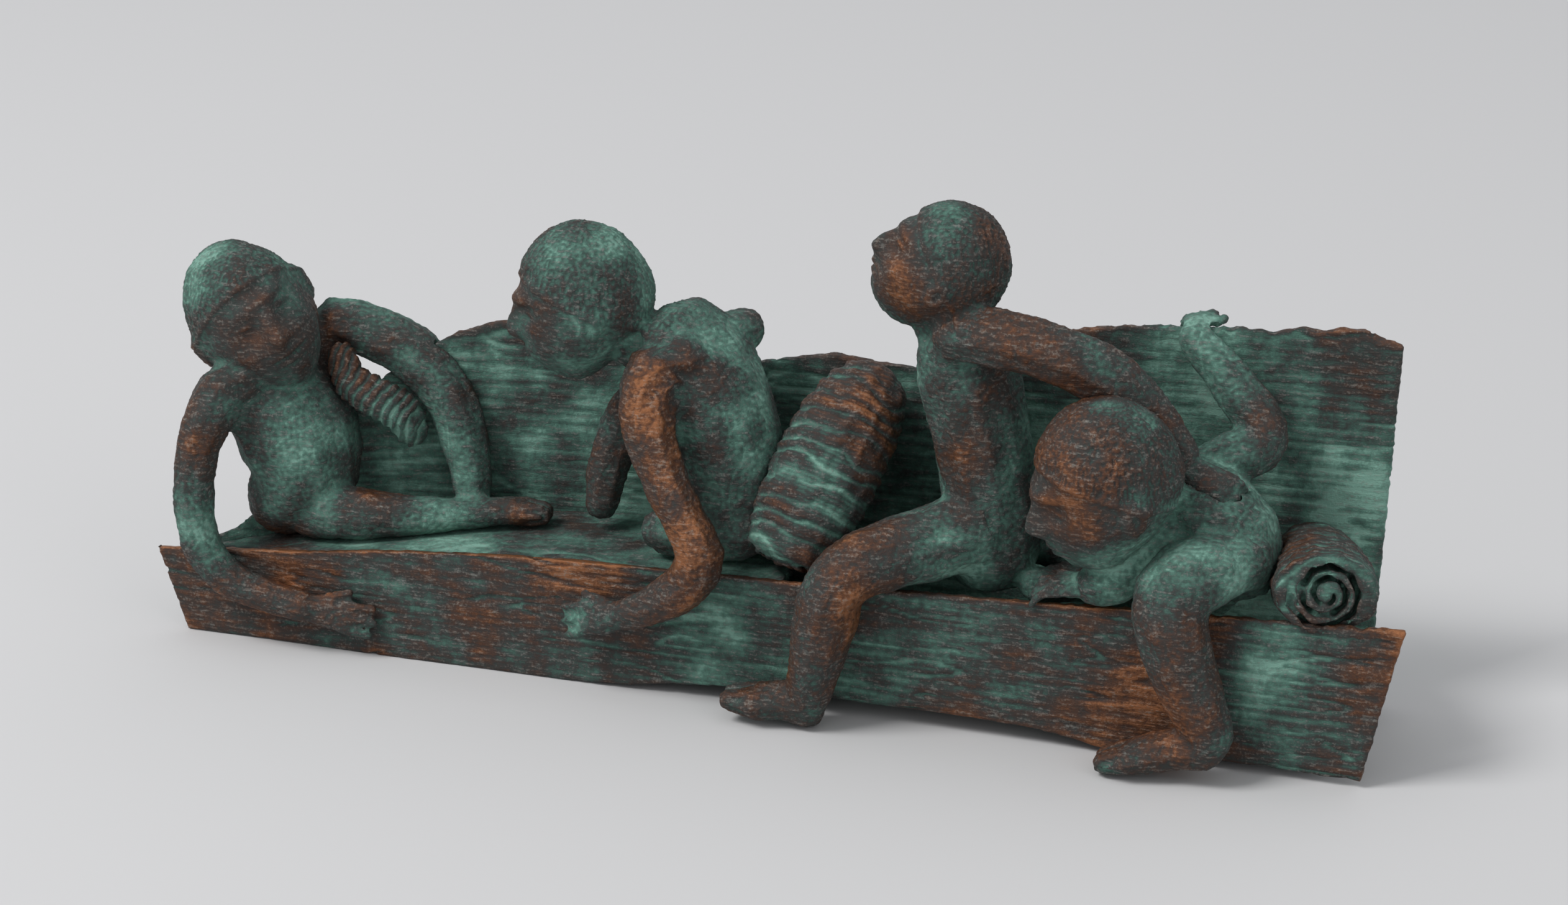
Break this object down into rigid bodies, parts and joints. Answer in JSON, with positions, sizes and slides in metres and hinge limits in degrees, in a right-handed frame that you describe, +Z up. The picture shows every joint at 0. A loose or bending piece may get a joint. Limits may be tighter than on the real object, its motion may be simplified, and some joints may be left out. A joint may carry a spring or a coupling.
{
  "type": "cast bronze boat group",
  "caption": "Patinated cast bronze group of figures leaning out of a plank boat that carries rolled nets.",
  "frame": {"origin": "on the ground, under the middle of the bounding box", "axes": "+X along the boat from bow to stern, +Y from the near side to the far side, +Z up"},
  "size_m": [0.522, 0.1248, 0.2104],
  "materials": {
    "weathered_bronze": "satin",
    "verdigris_bronze": "matte",
    "worn_bronze": "satin"
  },
  "bodies": {
    "root": {"near_side_plank": "weathered_bronze", "far_side_plank": "verdigris_bronze", "bottom_plank": "weathered_bronze", "bow_deck": "verdigris_bronze", "bow_figure_torso": "verdigris_bronze", "bow_figure_head": "weathered_bronze", "bow_figure_near_arm": "worn_bronze", "bow_figure_far_arm": "weathered_bronze", "bow_figure_near_leg": "verdigris_bronze", "bow_figure_far_leg": "verdigris_bronze", "net_fold": "weathered_bronze", "leaning_figure_torso": "verdigris_bronze", "leaning_figure_head": "weathered_bronze", "leaning_figure_near_arm": "worn_bronze", "leaning_figure_far_arm": "weathered_bronze", "leaning_figure_near_leg": "verdigris_bronze", "leaning_figure_far_leg": "verdigris_bronze", "long_roll": "weathered_bronze", "upright_figure_torso": "verdigris_bronze", "upright_figure_head": "weathered_bronze", "upright_figure_near_arm": "weathered_bronze", "upright_figure_far_arm": "weathered_bronze", "upright_figure_near_leg": "worn_bronze", "upright_figure_far_leg": "verdigris_bronze", "stooped_figure_torso": "verdigris_bronze", "stooped_figure_head": "weathered_bronze", "stooped_figure_near_leg": "worn_bronze", "stooped_figure_far_leg": "verdigris_bronze", "stooped_figure_far_arm": "weathered_bronze", "stooped_figure_near_arm": "weathered_bronze", "short_roll": "weathered_bronze"}
  },
  "joints": []
}
